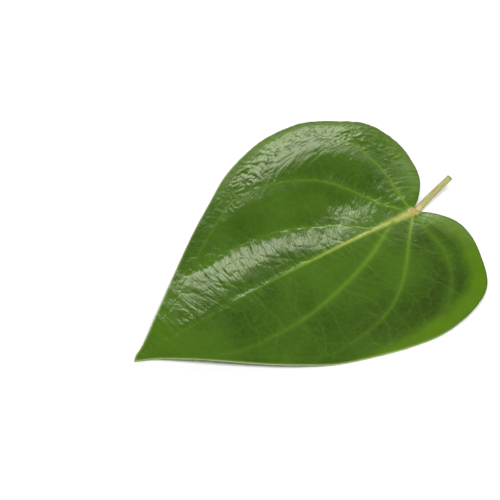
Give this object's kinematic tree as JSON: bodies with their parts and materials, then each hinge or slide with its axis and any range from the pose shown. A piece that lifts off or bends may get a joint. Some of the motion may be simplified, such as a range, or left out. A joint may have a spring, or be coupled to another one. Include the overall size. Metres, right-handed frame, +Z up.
{
  "type": "betel leaf",
  "caption": "Heart-shaped green leaf with a short cut stalk, raised veins beneath and a gently waved blade, lying flat.",
  "frame": {"origin": "on the surface that the leaf lies on, under the middle of its bounding box", "axes": "+Z up off the surface; +X along the midrib from the tip to the stalk; +Y towards the broader half"},
  "size_m": [0.1396, 0.112, 0.0066],
  "materials": {
    "blade": "satin, waxy upper face",
    "stalk": "smooth, dull"
  },
  "bodies": {
    "root": {"leaf_blade": "blade", "leaf_stalk": "stalk"}
  },
  "joints": []
}
